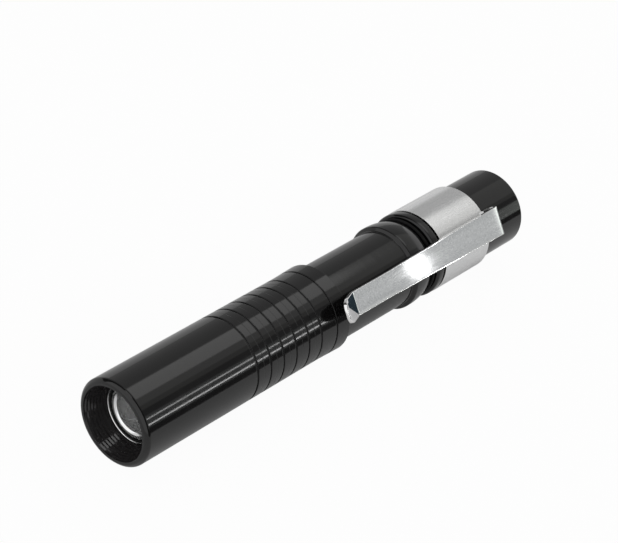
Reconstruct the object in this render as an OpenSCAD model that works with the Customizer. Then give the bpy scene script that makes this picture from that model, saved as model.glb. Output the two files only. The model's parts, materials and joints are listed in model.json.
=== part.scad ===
// Penlight for one slim cylindrical cell, with a folded sheet clip and a push switch in its tail.
// The axis is +Z from tail to head, and the origin is the centre of the tail's rear rim.
// The clip faces -Y. All sizes are in millimetres.

/* [Cell] */
// Radius of the cell over its sleeve
cell_r = 5.25; // [5:0.05:5.4]
// Length of the cell with its positive nub
cell_len = 44.5; // [40:0.5:50]
// Thickness of the cell's sleeve
sleeve_t = 0.15; // [0.1:0.05:0.3]
// Wall of the cell's steel can
can_t = 0.25; // [0.2:0.05:0.4]
// Radius of the positive nub
nub_r = 1.9; // [1.5:0.1:2.5]
// Height of the positive nub
nub_len = 0.9; // [0.6:0.1:1.5]
// Thickness of the seal at the negative end
cell_seal_t = 0.8; // [0.5:0.1:1.5]
// Thickness of the negative plate
cell_plate_t = 0.3; // [0.2:0.05:0.5]

/* [Head] */
// Wall of the head round its bore, which also sets the outside of the grip
head_wall = 0.9; // [0.7:0.05:1.8]
// Length of the plain head
head_len = 22.75; // [20:0.25:30]
// Width of the flat rim round the cone's mouth
rim_w = 0.7; // [0.5:0.05:1.2]
// How far the lip stands in over the lens
lip_hold = 1.2; // [0.8:0.05:1.8]
// Depth of the cone in the front face
cone_depth = 3.5; // [2:0.1:5]
// Straight land behind the cone
lip_land = 0.4; // [0.2:0.05:1]
// Bevel on the head's front edge
head_edge = 0.35; // [0.1:0.05:0.6]

/* [Optics] */
// How far the lens stands into the lip
lens_proud = 0.5; // [0.2:0.05:1]
// Thickness of the lens flange
lens_flange_t = 1; // [0.6:0.1:1.6]
// Radius of the lens where it faces the diode
lens_rear_r = 2.6; // [2.5:0.05:3]
// Radius of the lens's rear pocket
lens_pocket_r = 1.75; // [1.6:0.05:2]
// Thickness of the lens gasket
gasket_t = 0.4; // [0.2:0.05:0.8]
// Side of the diode's square base
led_side = 3.4; // [3:0.1:3.5]
// Thickness of the diode's base
led_t = 0.7; // [0.5:0.05:1]
// Radius of the diode's dome
led_dome_r = 1.3; // [1:0.05:1.5]
// Thickness of the diode's board
led_board_t = 1; // [0.8:0.1:1.6]

/* [Driver] */
// Length of the heat sink's flange
sink_len = 4.15; // [3:0.05:5]
// Length of the heat sink's skirt inside the barrel
skirt_len = 3.65; // [3:0.05:4.5]
// Wall of the heat sink's skirt
skirt_wall = 0.75; // [0.5:0.05:1]
// Thickness of the driver board
driver_t = 1; // [0.6:0.1:1.4]
// Gap from the driver's parts to the leads beside them
parts_gap = 0.35; // [0.2:0.05:0.8]
// Height of the driver's coil
choke_len = 1.6; // [1:0.1:2]
// Length of the front contact spring
front_spring_len = 2.5; // [2:0.1:4]

/* [Barrel] */
// Wall of the middle tube
tube_wall = 0.93; // [0.6:0.01:1.3]
// Wall of the threaded noses
nose_wall = 0.6; // [0.4:0.05:0.75]
// Length of the nose in the head
nose_len = 5; // [4:0.1:8]
// Length of the grip
grip_len = 20.6; // [19:0.1:26]
// Distance between grip grooves
groove_pitch = 2.82; // [2:0.02:3.2]
// Number of even grooves, with the head's seam
groove_count = 6; // [3:1:6]
// Width of a grip groove
groove_w = 0.46; // [0.3:0.02:0.8]
// Depth of a grip groove
groove_depth = 0.35; // [0.2:0.05:0.5]
// Length of the flare at the grip's rear end
flare_len = 4.7; // [3.5:0.1:5]
// Rise of the flare
flare_rise = 0.15; // [0.05:0.01:0.4]
// Length of the collar at the barrel's rear end
collar_len = 6.05; // [5.8:0.05:7]
// Length of the collar's front slope
collar_slope_len = 2.5; // [1.5:0.1:3]
// Length of the collar's rounded rear
collar_crown_len = 3; // [2:0.1:3]
// Rise of the collar over its rear edge
collar_rise = 0.43; // [0.2:0.01:0.8]
// How far the collar's crest stands out past the head
collar_proud = 0.03; // [0:0.01:0.3]
// Depth of the socket for the tail cap
socket_len = 5; // [3:0.1:5.4]

/* [Tail cap] */
// Length of the tail behind the clip band
tail_end_len = 9.7; // [8.5:0.1:12]
// Wall of the tail cap
tail_wall = 1.03; // [0.8:0.01:1.4]
// How far the flange in front of the clip band stands out past the head
flange_proud = 0.08; // [0:0.01:0.3]
// Length of the flange
flange_len = 1.9; // [1:0.1:3]
// Gap between the flange and the barrel
cap_gap = 1.45; // [1:0.05:2]
// Bevel on the tail's outer edges
tail_edge = 0.3; // [0.1:0.05:0.5]
// Thickness of the tail's end wall
end_wall = 2.2; // [1.5:0.1:3]
// Radius of the wire of the O-ring
o_ring_wire_r = 0.26; // [0.15:0.01:0.4]

/* [Switch] */
// Gap round the button's flange
button_flange_gap = 0.5; // [0.3:0.05:1]
// Depth of the button below the tail's rim
button_sink = 0.6; // [0.3:0.05:1]
// Thickness of the button's flange
button_flange_t = 1; // [0.6:0.1:1.5]
// Rim of the button's flange beyond the stem
button_flange_rim = 0.9; // [0.6:0.05:1]
// Travel of the button
button_travel = 1.2; // [0.6:0.1:1.5]
// Radius of the switch plunger
plunger_r = 1.6; // [1.2:0.05:2]
// Length of the switch plunger
plunger_len = 4; // [3.6:0.1:4.5]
// Length of the switch housing
housing_len = 6.2; // [5.6:0.1:7]
// Thickness of the contact at the end of the housing's bore
contact_t = 0.4; // [0.2:0.05:0.6]
// Floor of the housing's bore
housing_floor = 0.6; // [0.4:0.05:0.8]
// Thickness of the switch board
switch_board_t = 1; // [0.6:0.1:1.4]
// Width of the seat that the switch board rests on
board_seat = 0.55; // [0.3:0.05:0.7]
// Length of the retaining ring
ring_len = 1.2; // [0.8:0.1:1.6]
// Wall of the retaining ring
ring_wall = 1; // [0.6:0.05:1.2]
// Length of the tail spring
tail_spring_len = 7; // [5:0.1:9]

/* [Clip] */
// Thickness of the clip sheet
sheet_t = 0.55; // [0.4:0.05:0.7]
// Length of the band round the tail
band_len = 11; // [8:0.1:12]
// Gap under the tongue that carries the fold
tongue_gap = 0.27; // [0.2:0.01:0.5]
// Length of the tongue behind the band
tongue_len = 1.65; // [1.2:0.05:2.5]
// Inner radius of the fold
fold_r = 0.25; // [0.2:0.05:0.5]
// Width of the plate at the fold
plate_rear_w = 4.75; // [4:0.05:6]
// Width of the plate at its tip
plate_front_w = 3.75; // [3:0.05:4.5]
// How far the plate leans in towards the barrel at its front bend
plate_lean = 0.25; // [0:0.05:0.4]
// Distance from the plate's front bend back to the grip's end
bend_back = 1.1; // [0.1:0.05:2]
// Slope of the tip, away from the barrel
tip_angle = 29; // [20:1:40]
// Radius of the bend before the tip
tip_bend_r = 0.6; // [0.5:0.05:1]
// Length of the tip beyond the bend
tip_len = 4.6; // [3:0.1:6]
// Radius of the tip's corners
tip_corner_r = 1.45; // [0.8:0.05:1.5]

/* [Fits] */
// Radial play of the cell in its bore
cell_play = 0.2; // [0.1:0.05:0.3]
// Radial play of a thread, shown as a plain fit
thread_play = 0.05; // [0.02:0.01:0.1]
// Radial play of the clip band on the tail
band_play = 0.05; // [0.02:0.01:0.1]
// Gap at each seam between pieces that turn or spring
seam = 0.15; // [0.1:0.01:0.3]
// Play round the pieces packed inside
inner_play = 0.1; // [0.05:0.01:0.2]

/* [Hidden] */
$fn = 96;

// Radii that follow from the cell
bore_r = cell_r + cell_play;
thread_r = bore_r + nose_wall;
socket_r = thread_r + thread_play;
tube_r = bore_r + tube_wall;
tail_r = bore_r + tail_wall;
band_in_r = tail_r + band_play;
band_out_r = band_in_r + sheet_t;
head_r = socket_r + head_wall;
mouth_r = head_r - rim_w;
lip_r = socket_r - lip_hold;
flange_r = head_r + flange_proud;
flare_r = head_r + flare_rise;
collar_r = head_r + collar_proud;
pocket_r = bore_r - board_seat;
packed_r = socket_r - inner_play;

// Places along the axis inside the tail
button_flange_z = end_wall;
plunger_z = button_flange_z + button_flange_t;
housing_gap = 0.6;
housing_z = plunger_z + button_travel + housing_gap;
switch_board_z = housing_z + housing_len;
ring_z = switch_board_z + switch_board_t;
cell_z = ring_z + tail_spring_len;
cell_can_z = cell_z + cell_plate_t + cell_seal_t;
cell_shoulder_z = cell_z + cell_len - nub_len;
cell_top_z = cell_z + cell_len;

// Places along the axis outside the tail
band_z = tail_end_len;
flange_z = band_z + band_len + seam;
cap_shoulder_z = flange_z + flange_len;
barrel_z = cap_shoulder_z + cap_gap;
socket_top_z = barrel_z + socket_len;
nose_top_z = socket_top_z - seam;
collar_top_z = barrel_z + collar_len;
collar_crest_z = collar_top_z - collar_slope_len;

// Places along the axis in the head
driver_z = cell_top_z + front_spring_len;
sink_z = driver_z + skirt_len;
head_z = sink_z - nose_len;
grip_z = head_z - grip_len;
led_board_z = sink_z + sink_len;
led_z = led_board_z + led_board_t;
front_z = head_z + head_len;
seat_z = front_z - cone_depth - lip_land;
lens_flange_z = seat_z - gasket_t - lens_flange_t;
lens_face_r = lip_r - inner_play;
lens_side_r = packed_r - 2 * skirt_wall;
lens_rear_gap = 0.2;
lens_rear_z = led_z + led_t + lens_rear_gap;
holder_play = 2 * inner_play;

// Heat sink and driver
skirt_r = bore_r - inner_play;
skirt_bore_r = skirt_r - skirt_wall;
driver_r = skirt_bore_r - inner_play;
cavity_top_z = sink_z + sink_len / 4;
lead_r = 0.35;
lead_x = skirt_bore_r - 2 * lead_r - inner_play;
parts_reach = lead_x - lead_r - parts_gap;
choke_r = (parts_reach - inner_play) / 2;
choke_x = choke_r + inner_play;
chip_inset = 0.6;
chip = [parts_reach - inner_play - chip_inset, 2, 0.9];
chip_x = -chip[0] - inner_play;

// Switch
button_flange_r = pocket_r - button_flange_gap;
button_r = button_flange_r - button_flange_rim;
button_hole_r = button_r + thread_play;
housing_r = pocket_r - holder_play;
housing_bore_r = plunger_r + thread_play;
contact_z = switch_board_z - housing_floor - contact_t;
plunger_top_z = plunger_z + plunger_len;

// Spring wires, with 8 rings a turn and 6 sides
coil_rings = 8;
coil_sides = 6;
tail_spring_wire_r = 0.3;
tail_spring_turns = 4.5;
tail_spring_base_r = bore_r - ring_wall - 2 * tail_spring_wire_r;
tail_spring_tip_r = tail_spring_base_r - 5 * tail_spring_wire_r;
front_spring_wire_r = 0.2;
front_spring_turns = 2.25;
front_spring_base_r = nub_r + front_spring_wire_r;
front_spring_tip_r = nub_r - 2 * front_spring_wire_r;
switch_spring_wire_r = 0.15;
switch_spring_turns = 3;
switch_spring_r = housing_bore_r - 3 * switch_spring_wire_r;

// Clip: heights are measured from the axis towards -Y
half_t = sheet_t / 2;
tongue_h = tail_r + tongue_gap;
fold_z = band_z - tongue_len;
fold_mid_r = fold_r + half_t;
bend_z = grip_z - bend_back;
plate_len = bend_z - fold_z;
plate_tilt = asin(plate_lean / plate_len);
clip_bends = [
    [fold_mid_r, 180 + plate_tilt, plate_len],
    [-tip_bend_r, plate_tilt + tip_angle, tip_len]
];
bend_steps = 10;
plate_reach = 2 * head_r;

// Points of an arc about a centre, from one angle to another
function arc(centre, r, from, to, steps = 10) = [
    for (i = [0 : steps]) let (a = from + (to - from) * i / steps)
        centre + r * [cos(a), sin(a)]
];

// Centre line of a bent sheet as [point, heading]: each row is a bend's radius, its angle and the
// straight run after it. A positive radius turns to the right.
function bent(rows, at, heading, i = 0) = i == len(rows) ? [] :
    let (
        r = rows[i][0],
        turn = rows[i][1] * (r > 0 ? -1 : 1),
        centre = at + abs(r) * [cos(heading + sign(turn) * 90), sin(heading + sign(turn) * 90)],
        out = [for (k = [0 : bend_steps]) let (a = heading + turn * k / bend_steps)
            [centre - abs(r) * [cos(a + sign(turn) * 90), sin(a + sign(turn) * 90)], a]],
        last = out[bend_steps],
        next = last[0] + rows[i][2] * [cos(last[1]), sin(last[1])]
    )
    concat(out, [[next, last[1]]], bent(rows, next, last[1], i + 1));

// Points of a coil's centre line, from radius r0 at z0 to radius r1 at z1
function coil_line(r0, r1, z0, z1, turns) = [
    for (i = [0 : turns * coil_rings])
        let (t = i / (turns * coil_rings), r = r0 + (r1 - r0) * t, a = 360 * turns * t)
            [r * cos(a), r * sin(a), z0 + (z1 - z0) * t]
];

// Least distance between turns of a coil's wire
function coil_gap(line, wire_r) = min([
    for (i = [0 : len(line) - 1])
        for (j = [i + coil_rings / 2 : 1 : len(line) - 1]) norm(line[i] - line[j])
]) - 2 * wire_r;

module tube(r_out, r_in, z0, z1) {
    translate([0, 0, z0])
        difference() {
            cylinder(r = r_out, h = z1 - z0);
            translate([0, 0, -1]) cylinder(r = r_in, h = z1 - z0 + 2);
        }
}

module disc(r, z0, z1) {
    translate([0, 0, z0]) cylinder(r = r, h = z1 - z0);
}

// Ring cut into an outer wall of radius r
module groove(r, z0) {
    tube(r + 1, r - groove_depth, z0, z0 + groove_w);
}

// One unbroken wire wound into a coil
module coil(r0, r1, z0, z1, turns, wire_r) {
    line = coil_line(r0, r1, z0, z1, turns);
    rings = len(line);
    points = [
        for (i = [0 : rings - 1])
            for (k = [0 : coil_sides - 1])
                let (a = 360 * turns * i / (rings - 1), b = 360 * k / coil_sides)
                    line[i] + wire_r * [cos(b) * cos(a), cos(b) * sin(a), sin(b)]
    ];
    sides = [
        for (i = [0 : rings - 2])
            for (k = [0 : coil_sides - 1])
                let (n = (k + 1) % coil_sides, p = i * coil_sides, q = p + coil_sides)
                    each [[p + k, q + k, q + n], [p + k, q + n, p + n]]
    ];
    last = (rings - 1) * coil_sides;
    ends = [
        for (k = [1 : coil_sides - 2])
            each [[0, k, k + 1], [last, last + k + 1, last + k]]
    ];
    polyhedron(points, concat(sides, ends));
    echo(least_gap = coil_gap(line, wire_r));
}

// Turns a shape drawn as [z, height] into a sheet across the clip
module across_clip(w) {
    rotate([180, -90, 0]) linear_extrude(height = w, center = true) children();
}

// Front shell: plain outside, cone and lip at the mouth, bore for the optics and the barrel's nose
module head() {
    color([0.03, 0.03, 0.035]) rotate_extrude() polygon([
        [socket_r, head_z],
        [head_r, head_z],
        [head_r, front_z - head_edge],
        [head_r - head_edge, front_z],
        [mouth_r, front_z],
        [lip_r, front_z - cone_depth],
        [lip_r, seat_z],
        [socket_r, seat_z]
    ]);
}

module lens_gasket() {
    color([0.1, 0.1, 0.1]) tube(packed_r, lip_r, seat_z - gasket_t, seat_z);
}

// Clear collimator: flat face in the lip, flange behind it, cone with a pocket over the diode
module lens() {
    pocket_top_z = led_z + led_t + led_dome_r + 2 * lens_rear_gap;
    color([0.85, 0.9, 0.95, 0.4]) rotate_extrude() polygon([
        [0, pocket_top_z],
        [lens_pocket_r, pocket_top_z],
        [lens_pocket_r, lens_rear_z],
        [lens_rear_r, lens_rear_z],
        [lens_side_r, lens_flange_z],
        [packed_r, lens_flange_z],
        [packed_r, lens_flange_z + lens_flange_t],
        [lens_face_r, lens_flange_z + lens_flange_t],
        [lens_face_r, seat_z + lens_proud],
        [0, seat_z + lens_proud]
    ]);
}

// Cup that carries the lens over the diode's board
module lens_holder() {
    color([0.9, 0.9, 0.88]) rotate_extrude() polygon([
        [lens_rear_r + holder_play, led_z],
        [packed_r, led_z],
        [packed_r, lens_flange_z],
        [lens_side_r + holder_play, lens_flange_z],
        [lens_rear_r + holder_play, lens_rear_z]
    ]);
}

module led_dome() {
    color([0.95, 0.93, 0.8]) intersection() {
        translate([0, 0, led_z + led_t]) sphere(r = led_dome_r);
        disc(2 * led_dome_r, led_z + led_t, led_z + led_t + 2 * led_dome_r);
    }
}

module led_base() {
    color([0.92, 0.92, 0.9])
        translate([-led_side / 2, -led_side / 2, led_z]) cube([led_side, led_side, led_t]);
}

module led_board() {
    color([0.85, 0.85, 0.85]) disc(packed_r, led_board_z, led_z);
}

// Two leads from the driver through the heat sink to the diode's board
module led_leads() {
    color([0.7, 0.1, 0.1])
        for (side = [-1, 1])
            translate([side * lead_x, 0, 0]) disc(lead_r, driver_z + driver_t, led_board_z);
}

// Flange against the barrel's nose, skirt inside it
module heat_sink() {
    color([0.75, 0.6, 0.3]) difference() {
        rotate_extrude() polygon([
            [0, cavity_top_z],
            [skirt_bore_r, cavity_top_z],
            [skirt_bore_r, driver_z],
            [skirt_r, driver_z],
            [skirt_r, sink_z],
            [packed_r, sink_z],
            [packed_r, led_board_z],
            [0, led_board_z]
        ]);
        for (side = [-1, 1])
            translate([side * lead_x, 0, 0]) disc(lead_r + inner_play, sink_z, led_board_z + 1);
    }
}

module driver_parts() {
    top_z = driver_z + driver_t;
    color([0.15, 0.15, 0.17]) {
        translate([choke_x, 0, 0]) disc(choke_r, top_z, top_z + choke_len);
        translate([chip_x, -chip[1] / 2, top_z]) cube(chip);
    }
}

module driver_board() {
    color([0.1, 0.35, 0.2]) disc(driver_r, driver_z, driver_z + driver_t);
}

module front_spring() {
    color([0.8, 0.65, 0.3]) coil(
        front_spring_base_r, front_spring_tip_r,
        driver_z - front_spring_wire_r, cell_top_z + front_spring_wire_r + inner_play,
        front_spring_turns, front_spring_wire_r
    );
}

// Grip, middle tube and collar, with a nose in the head and a socket for the tail cap
module barrel() {
    crown_r = (pow(collar_crown_len, 2) + pow(collar_rise, 2)) / (2 * collar_rise);
    crown_angle = asin(collar_crown_len / crown_r);
    crown_z = barrel_z + collar_crown_len;
    color([0.03, 0.03, 0.035]) difference() {
        rotate_extrude() polygon(concat(
            [[bore_r, socket_top_z], [socket_r, socket_top_z], [socket_r, barrel_z]],
            arc([collar_r - crown_r, crown_z], crown_r, -crown_angle, 0),
            [
                [collar_r, collar_crest_z],
                [tube_r, collar_top_z],
                [tube_r, grip_z],
                [flare_r, grip_z],
                [head_r, grip_z + flare_len],
                [head_r, head_z],
                [thread_r, head_z],
                [thread_r, sink_z],
                [bore_r, sink_z]
            ]
        ));
        for (i = [0 : groove_count - 1]) groove(head_r, head_z - groove_w - i * groove_pitch);
        groove(flare_r, grip_z + groove_pitch - groove_w / 2);
    }
}

module battery_sleeve() {
    color([0.55, 0.57, 0.6]) tube(cell_r, cell_r - sleeve_t, cell_z, cell_shoulder_z);
}

// Steel cup with the positive nub
module battery_can() {
    can_r = cell_r - sleeve_t;
    color([0.75, 0.75, 0.76]) rotate_extrude() polygon([
        [can_r - can_t, cell_can_z - cell_seal_t],
        [can_r, cell_can_z - cell_seal_t],
        [can_r, cell_shoulder_z],
        [nub_r, cell_shoulder_z],
        [nub_r, cell_top_z],
        [0, cell_top_z],
        [0, cell_shoulder_z - can_t],
        [can_r - can_t, cell_shoulder_z - can_t]
    ]);
}

module battery_core() {
    color([0.2, 0.2, 0.2])
        disc(cell_r - sleeve_t - can_t - inner_play, cell_can_z, cell_shoulder_z - can_t);
}

module battery_seal() {
    color([0.2, 0.3, 0.6])
        disc(cell_r - sleeve_t - can_t - inner_play, cell_can_z - cell_seal_t, cell_can_z);
}

module battery_plate() {
    color([0.75, 0.75, 0.76])
        disc(cell_r - sleeve_t - can_t - inner_play, cell_z, cell_z + cell_plate_t);
}

// Sheet band round the tail, with the tongue that runs back to the fold
module clip_band() {
    color([0.78, 0.78, 0.78]) {
        tube(band_out_r, band_in_r, band_z, band_z + band_len);
        across_clip(plate_rear_w)
            translate([fold_z + seam, tongue_h]) square([tongue_len, sheet_t]);
    }
}

// Fold, plate and tip, one bent sheet that narrows towards a rounded tip, which is turned up
module clip_plate() {
    line = bent(clip_bends, [fold_z, tongue_h + half_t], 180);
    outer = [for (p = line) p[0] + half_t * [-sin(p[1]), cos(p[1])]];
    inner = [for (p = line) p[0] - half_t * [-sin(p[1]), cos(p[1])]];
    rear_z = fold_z - 2 * fold_mid_r;
    tip_z = max([for (p = concat(outer, inner)) p[0]]);
    tip_w = plate_front_w / 2;
    color([0.82, 0.82, 0.82]) intersection() {
        across_clip(2 * plate_rear_w)
            polygon(concat(outer, [for (i = [len(inner) - 1 : -1 : 0]) inner[i]]));
        rotate([90, 0, 0]) linear_extrude(height = plate_reach) polygon(concat(
            [[-plate_rear_w / 2, rear_z], [plate_rear_w / 2, rear_z], [tip_w, bend_z]],
            arc([tip_w - tip_corner_r, tip_z - tip_corner_r], tip_corner_r, 0, 90),
            arc([tip_corner_r - tip_w, tip_z - tip_corner_r], tip_corner_r, 90, 180),
            [[-tip_w, bend_z]]
        ));
    }
}

// Tail shell: nose for the barrel, flange before the clip band, hole for the button
module tail_cap() {
    color([0.03, 0.03, 0.035]) rotate_extrude() polygon([
        [button_hole_r, 0],
        [tail_r - tail_edge, 0],
        [tail_r, tail_edge],
        [tail_r, flange_z],
        [flange_r, flange_z],
        [flange_r, cap_shoulder_z - tail_edge],
        [flange_r - tail_edge, cap_shoulder_z],
        [thread_r, cap_shoulder_z],
        [thread_r, nose_top_z],
        [bore_r, nose_top_z],
        [bore_r, switch_board_z],
        [pocket_r, switch_board_z],
        [pocket_r, end_wall],
        [button_hole_r, end_wall]
    ]);
}

module tail_o_ring() {
    color([0.06, 0.06, 0.06]) rotate_extrude()
        translate([thread_r + o_ring_wire_r + thread_play, cap_shoulder_z + cap_gap / 2])
            circle(r = o_ring_wire_r);
}

module tail_spring() {
    color([0.8, 0.65, 0.3]) coil(
        tail_spring_base_r, tail_spring_tip_r,
        ring_z + tail_spring_wire_r + inner_play, cell_z - tail_spring_wire_r - inner_play,
        tail_spring_turns, tail_spring_wire_r
    );
}

module retaining_ring() {
    ring_r = bore_r - thread_play;
    color([0.75, 0.6, 0.3]) tube(ring_r, ring_r - ring_wall, ring_z, ring_z + ring_len);
}

module switch_board() {
    color([0.1, 0.35, 0.2]) disc(bore_r - thread_play, switch_board_z, ring_z);
}

module switch_housing() {
    color([0.12, 0.12, 0.13]) difference() {
        disc(housing_r, housing_z, switch_board_z);
        disc(housing_bore_r, housing_z - 1, switch_board_z - housing_floor);
    }
}

module switch_contact() {
    color([0.8, 0.65, 0.3]) disc(plunger_r, contact_z, contact_z + contact_t);
}

module switch_spring() {
    color([0.75, 0.75, 0.76]) coil(
        switch_spring_r, switch_spring_r,
        plunger_top_z + switch_spring_wire_r + inner_play,
        contact_z - switch_spring_wire_r - inner_play,
        switch_spring_turns, switch_spring_wire_r
    );
}

module switch_plunger() {
    color([0.9, 0.9, 0.88]) disc(plunger_r, plunger_z, plunger_top_z);
}

// Push button: stem in the end wall's hole, flange behind the wall
module button() {
    color([0.05, 0.05, 0.05]) {
        disc(button_r, button_sink, button_flange_z + button_flange_t);
        disc(button_flange_r, button_flange_z, button_flange_z + button_flange_t);
    }
}

head();
lens_gasket();
lens();
lens_holder();
led_dome();
led_base();
led_board();
led_leads();
heat_sink();
driver_parts();
driver_board();
front_spring();
barrel();
battery_sleeve();
battery_can();
battery_core();
battery_seal();
battery_plate();
clip_band();
clip_plate();
tail_cap();
tail_o_ring();
tail_spring();
retaining_ring();
switch_board();
switch_housing();
switch_contact();
switch_spring();
switch_plunger();
button();
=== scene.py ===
import bpy
import bmesh
import json
import math
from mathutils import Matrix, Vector


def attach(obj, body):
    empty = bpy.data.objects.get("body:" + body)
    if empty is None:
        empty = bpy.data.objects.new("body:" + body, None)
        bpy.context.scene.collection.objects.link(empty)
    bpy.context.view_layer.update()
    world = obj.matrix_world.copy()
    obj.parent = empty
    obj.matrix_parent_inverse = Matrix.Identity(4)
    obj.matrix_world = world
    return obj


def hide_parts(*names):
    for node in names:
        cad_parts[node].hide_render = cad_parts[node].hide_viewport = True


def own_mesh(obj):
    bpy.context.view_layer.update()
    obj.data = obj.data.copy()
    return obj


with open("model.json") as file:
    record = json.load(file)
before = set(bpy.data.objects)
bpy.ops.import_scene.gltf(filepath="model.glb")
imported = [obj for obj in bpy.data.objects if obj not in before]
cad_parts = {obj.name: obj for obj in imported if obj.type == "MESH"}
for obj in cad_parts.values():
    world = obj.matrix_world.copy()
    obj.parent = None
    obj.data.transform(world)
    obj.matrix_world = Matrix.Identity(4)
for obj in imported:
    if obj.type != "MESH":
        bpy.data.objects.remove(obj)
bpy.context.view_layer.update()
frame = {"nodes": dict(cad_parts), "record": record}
mm = 0.001
mergeWithin = 0.0005 * mm
print("frame loaded:", len(frame["nodes"]), "nodes")

# camera, lying over the head end and looking back along the clip
cameraPlan = {
    "place": (0.08828, -0.25871, 0.27603),
    "turn": (-29.65, 41.50, -112.933),
    "lens": 135.95,
    "sensorWidth": 36.0,
}


def clearSelection():
    if bpy.context.object and bpy.context.object.mode != "OBJECT":
        bpy.ops.object.mode_set(mode="OBJECT")
    bpy.ops.object.select_all(action="DESELECT")


clearSelection()
bpy.ops.object.camera_add(
    location=cameraPlan["place"],
    rotation=[math.radians(a) for a in cameraPlan["turn"]],
)
camera = bpy.context.object
camera.name = "photoCamera"
camera.data.lens = cameraPlan["lens"]
camera.data.sensor_width = cameraPlan["sensorWidth"]
camera.data.clip_start = 0.01
camera.data.clip_end = 20
bpy.context.scene.camera = camera
bpy.context.scene.view_settings.view_transform = "Standard"
print("camera placed")


# shaping helpers, used by every piece below

def nameIt(piece, name):
    piece.name = name
    piece.data.name = name
    return piece


def startVertex(name, point):
    # a small plane merged to one vertex, moved to the first point (x, y, z in mm)
    clearSelection()
    bpy.ops.mesh.primitive_plane_add(size=mm)
    piece = nameIt(bpy.context.object, name)
    bpy.ops.object.mode_set(mode="EDIT")
    bpy.ops.mesh.select_mode(type="VERT")
    bpy.ops.mesh.select_all(action="SELECT")
    bpy.ops.mesh.merge(type="CENTER")
    bpy.ops.transform.translate(value=[c * mm for c in point])
    return piece


def drawWire(name, points):
    # the profile is drawn by extruding the vertex from point to point
    piece = startVertex(name, points[0])
    for a, b in zip(points, points[1:]):
        step = [(q - p) * mm for p, q in zip(a, b)]
        bpy.ops.mesh.extrude_vertices_move(TRANSFORM_OT_translate={"value": step})
    return piece


def pickVertices(piece, test):
    mesh = bmesh.from_edit_mesh(piece.data)
    for part in (mesh.faces, mesh.edges, mesh.verts):
        for item in part:
            item.select_set(False)
    for v in mesh.verts:
        if test(v.co / mm):
            v.select_set(True)
    mesh.select_flush_mode()
    bmesh.update_edit_mesh(piece.data)


def pickFaces(piece, test):
    bpy.ops.mesh.select_mode(type="FACE")
    mesh = bmesh.from_edit_mesh(piece.data)
    for f in mesh.faces:
        f.select_set(test(f.calc_center_median() / mm, f.normal))
    mesh.select_flush_mode()
    bmesh.update_edit_mesh(piece.data)


def roundCorners(piece, corners, width, segments=3):
    # corners of a profile, each given as (radius, z) in mm
    near = 0.004
    pickVertices(piece, lambda p: any(abs(p.x - r) < near and abs(p.z - z) < near for r, z in corners))
    bpy.ops.mesh.bevel(offset_type="OFFSET", offset=width * mm, segments=segments, affect="VERTICES")


def spinWire(piece, steps):
    bpy.ops.mesh.select_all(action="SELECT")
    bpy.ops.mesh.spin(steps=steps, angle=2 * math.pi, center=(0, 0, 0), axis=(0, 0, 1))
    closeUp()


def closeUp():
    bpy.ops.mesh.select_all(action="SELECT")
    bpy.ops.mesh.remove_doubles(threshold=mergeWithin)
    bpy.ops.mesh.normals_make_consistent(inside=False)


def takeUp(piece):
    clearSelection()
    piece.select_set(True)
    bpy.context.view_layer.objects.active = piece


def smoothOff(piece, angle=32):
    takeUp(piece)
    bpy.ops.object.shade_smooth_by_angle(angle=math.radians(angle))
    # broad faces keep their own direction right up to the small bevels
    applyModifier(piece, "WEIGHTED_NORMAL", mode="FACE_AREA", weight=50, keep_sharp=True)


def applyModifier(piece, kind, **settings):
    takeUp(piece)
    modifier = piece.modifiers.new(kind.title(), kind)
    for key, value in settings.items():
        setattr(modifier, key, value)
    bpy.ops.object.modifier_apply(modifier=modifier.name)


def asRing(pairs):
    # a profile of (radius, z) pairs as points in the XZ plane
    return [(r, 0, z) for r, z in pairs]


def settle(piece, body, slot, material, *nodes):
    piece.data.materials.clear()
    piece.data.materials.append(material)
    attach(piece, body)
    if nodes:
        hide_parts(*nodes)
    print("made", piece.name, len(piece.data.polygons), "faces")


# shader groups, shared by the finishes

def newGroup(name, inputs, outputs):
    group = bpy.data.node_groups.new(name, "ShaderNodeTree")
    for label, kind, value in inputs:
        socket = group.interface.new_socket(name=label, in_out="INPUT", socket_type=kind)
        if value is not None:
            socket.default_value = value
    for label, kind in outputs:
        group.interface.new_socket(name=label, in_out="OUTPUT", socket_type=kind)
    start = group.nodes.new("NodeGroupInput")
    end = group.nodes.new("NodeGroupOutput")
    return group, start, end


def addMath(tree, operation, first, second=None):
    node = tree.nodes.new("ShaderNodeMath")
    node.operation = operation
    for index, value in enumerate((first, second)):
        if value is None:
            continue
        if isinstance(value, (int, float)):
            node.inputs[index].default_value = value
        else:
            tree.links.new(value, node.inputs[index])
    return node.outputs[0]


def addRange(tree, value, low, high, toLow=0.0, toHigh=1.0):
    node = tree.nodes.new("ShaderNodeMapRange")
    tree.links.new(value, node.inputs["Value"])
    for label, setting in (("From Min", low), ("From Max", high), ("To Min", toLow), ("To Max", toHigh)):
        if isinstance(setting, (int, float)):
            node.inputs[label].default_value = setting
        else:
            tree.links.new(setting, node.inputs[label])
    return node.outputs["Result"]


def splitVector(tree, source):
    node = tree.nodes.new("ShaderNodeSeparateXYZ")
    tree.links.new(source, node.inputs[0])
    return node.outputs


def axisDistance(tree, parts):
    across = addMath(tree, "MULTIPLY", parts["X"], parts["X"])
    depth = addMath(tree, "MULTIPLY", parts["Y"], parts["Y"])
    return addMath(tree, "SQRT", addMath(tree, "ADD", across, depth))


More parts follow.
